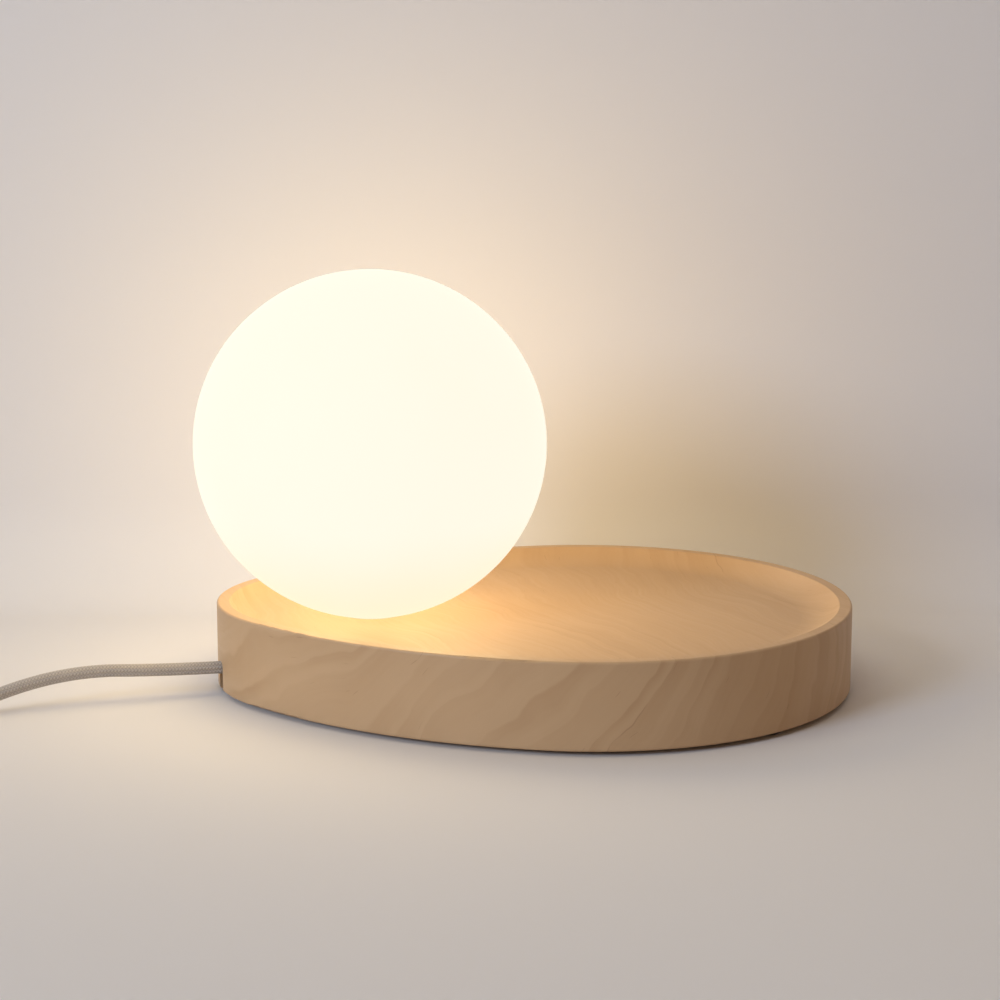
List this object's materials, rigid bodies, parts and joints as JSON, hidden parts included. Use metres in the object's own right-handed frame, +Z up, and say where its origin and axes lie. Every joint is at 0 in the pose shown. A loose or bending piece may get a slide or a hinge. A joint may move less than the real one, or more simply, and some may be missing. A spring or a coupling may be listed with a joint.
{
  "type": "table lamp",
  "caption": "Opal glass globe lamp standing at the narrow end of a dished egg-shaped wooden tray base, with screw-on globe, pin bulb, braided cord, cord switch and plug",
  "frame": {"origin": "bottom centre of the lamp without its free cord, on the table", "axes": "+X to the wide end of the tray, +Y to the back, +Z up; the globe stands towards -X"},
  "size_m": [0.556, 0.227, 0.1785],
  "materials": {
    "beech": "satin oiled pale beech",
    "foot_rubber": "matt dark rubber",
    "cover_plastic": "fine grained plastic",
    "screw_steel": "zinc plated",
    "collar_aluminium": "turned",
    "seal_rubber": "soft pale silicone",
    "opal_glass": "opal, satin, lit from inside",
    "ceramic": "white glazed ceramic",
    "contact_brass": "bright",
    "lead_sheath": "pale silicone sheath",
    "bulb_plastic": "white",
    "board_white": "white solder mask",
    "frosted_glass": "frosted",
    "terminal_plastic": "natural nylon",
    "clamp_steel": "pressed strip",
    "cord_fabric": "fine braided sleeve",
    "switch_plastic": "fine grained plastic",
    "rocker_plastic": "smooth plastic",
    "tie_fabric": "woven strap",
    "plug_rubber": "moulded sleeve",
    "plug_plastic": "fine grained plastic",
    "plug_nickel": "nickel plated"
  },
  "bodies": {
    "base": {"base_tray": "beech", "foot_pads": "foot_rubber", "bottom_cover": "cover_plastic", "cover_screws": "screw_steel", "globe_collar": "collar_aluminium", "collar_screws": "screw_steel", "lampholder": "ceramic", "holder_contacts": "contact_brass", "holder_screws": "screw_steel", "holder_leads": "lead_sheath", "terminal_block": "terminal_plastic", "terminal_sleeves": "contact_brass", "terminal_screws": "screw_steel", "block_screw": "screw_steel", "cord_cores": "lead_sheath", "cord_clamp": "clamp_steel", "clamp_screws": "screw_steel", "cord_lead": "cord_fabric", "switch_lower_shell": "switch_plastic", "switch_upper_shell": "switch_plastic", "switch_pin": "screw_steel", "switch_contacts": "contact_brass", "switch_screws": "screw_steel", "cord_link": "cord_fabric", "cord_coil": "cord_fabric", "coil_tie": "tie_fabric", "cord_tail": "cord_fabric", "plug_sleeve": "plug_rubber", "plug_body": "plug_plastic", "plug_pins": "plug_nickel"},
    "carrier": {"neck_seal": "seal_rubber"},
    "globe": {"globe": "opal_glass"},
    "bulb": {"bulb_base": "bulb_plastic", "bulb_pins": "contact_brass", "bulb_board": "board_white", "bulb_envelope": "frosted_glass"},
    "rocker": {"switch_rocker": "rocker_plastic"}
  },
  "joints": [
    {"name": "globe_rise", "type": "slide", "parent": "base", "child": "carrier", "axis": [0, 0, 1], "range_m": [0, 0.0102]},
    {"name": "globe_turn", "type": "hinge", "parent": "carrier", "child": "globe", "pos_m": [-0.0653, 0, 0.1044], "axis": [0, 0, 1], "range_deg": [0, 900]},
    {"name": "bulb_pull", "type": "slide", "parent": "base", "child": "bulb", "axis": [0, 0, 1], "range_m": [0, 0.012]},
    {"name": "switch_rock", "type": "hinge", "parent": "base", "child": "rocker", "pos_m": [-0.3225, -0.0906, 0.011], "axis": [0.2419, -0.9703, 0], "range_deg": [0, 16]}
  ],
  "couplings": [
    {"joint": "globe_rise", "follows": "globe_turn", "m_per_rad": 0.00063662}
  ]
}
